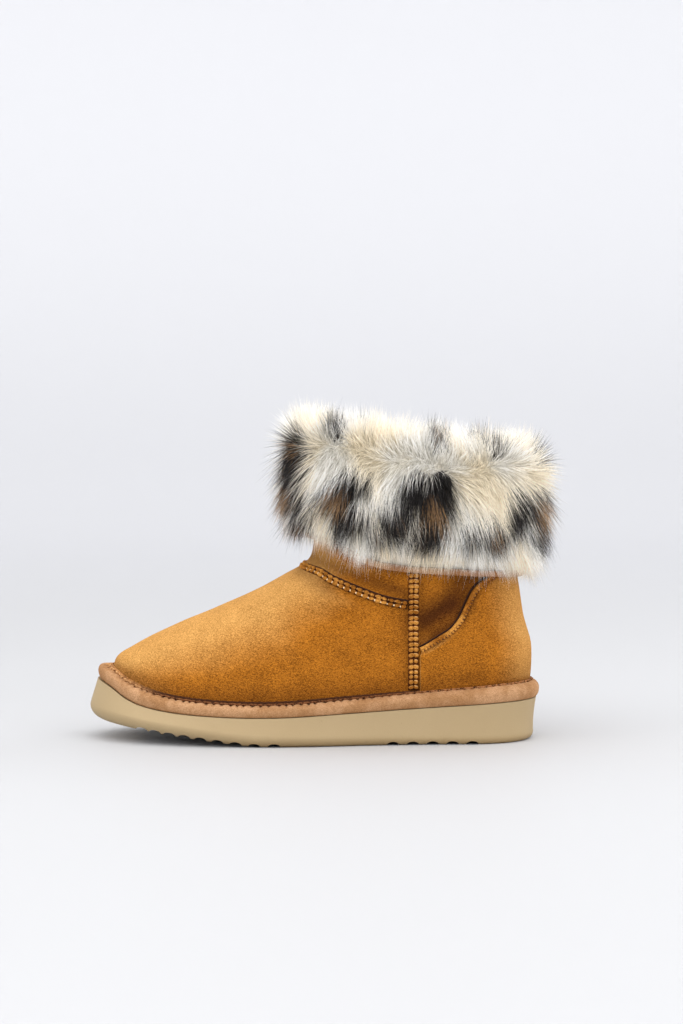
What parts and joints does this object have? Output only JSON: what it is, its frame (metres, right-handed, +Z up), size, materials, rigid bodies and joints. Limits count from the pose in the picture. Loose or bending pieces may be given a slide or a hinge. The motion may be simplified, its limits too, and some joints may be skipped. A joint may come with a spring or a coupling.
{
  "type": "fur-lined ankle boot",
  "caption": "Left suede winter ankle boot with a low moulded wedge sole, raised seams and a deep turned-down faux-fur cuff around an open, hollow shaft.",
  "frame": {"origin": "on the floor, at the flat middle of the outsole's bottom", "axes": "+X towards the heel, +Y towards the inner side of the foot, +Z up; the toe points to -X"},
  "size_m": [0.2775, 0.133, 0.2022],
  "materials": {
    "outsole": "matte moulded",
    "wrap": "suede",
    "insole": "plush",
    "suede": "suede nap",
    "seam": "overcast thread on suede",
    "fur": "long-pile faux fur",
    "binding": "suede"
  },
  "bodies": {
    "root": {"outsole": "outsole", "wrapped_midsole": "wrap", "insole": "insole", "upper": "suede", "heel_counter": "suede", "side_seam_outer": "seam", "side_seam_inner": "seam", "instep_seam": "seam", "fur_cuff": "fur", "cuff_binding": "binding"}
  },
  "joints": []
}
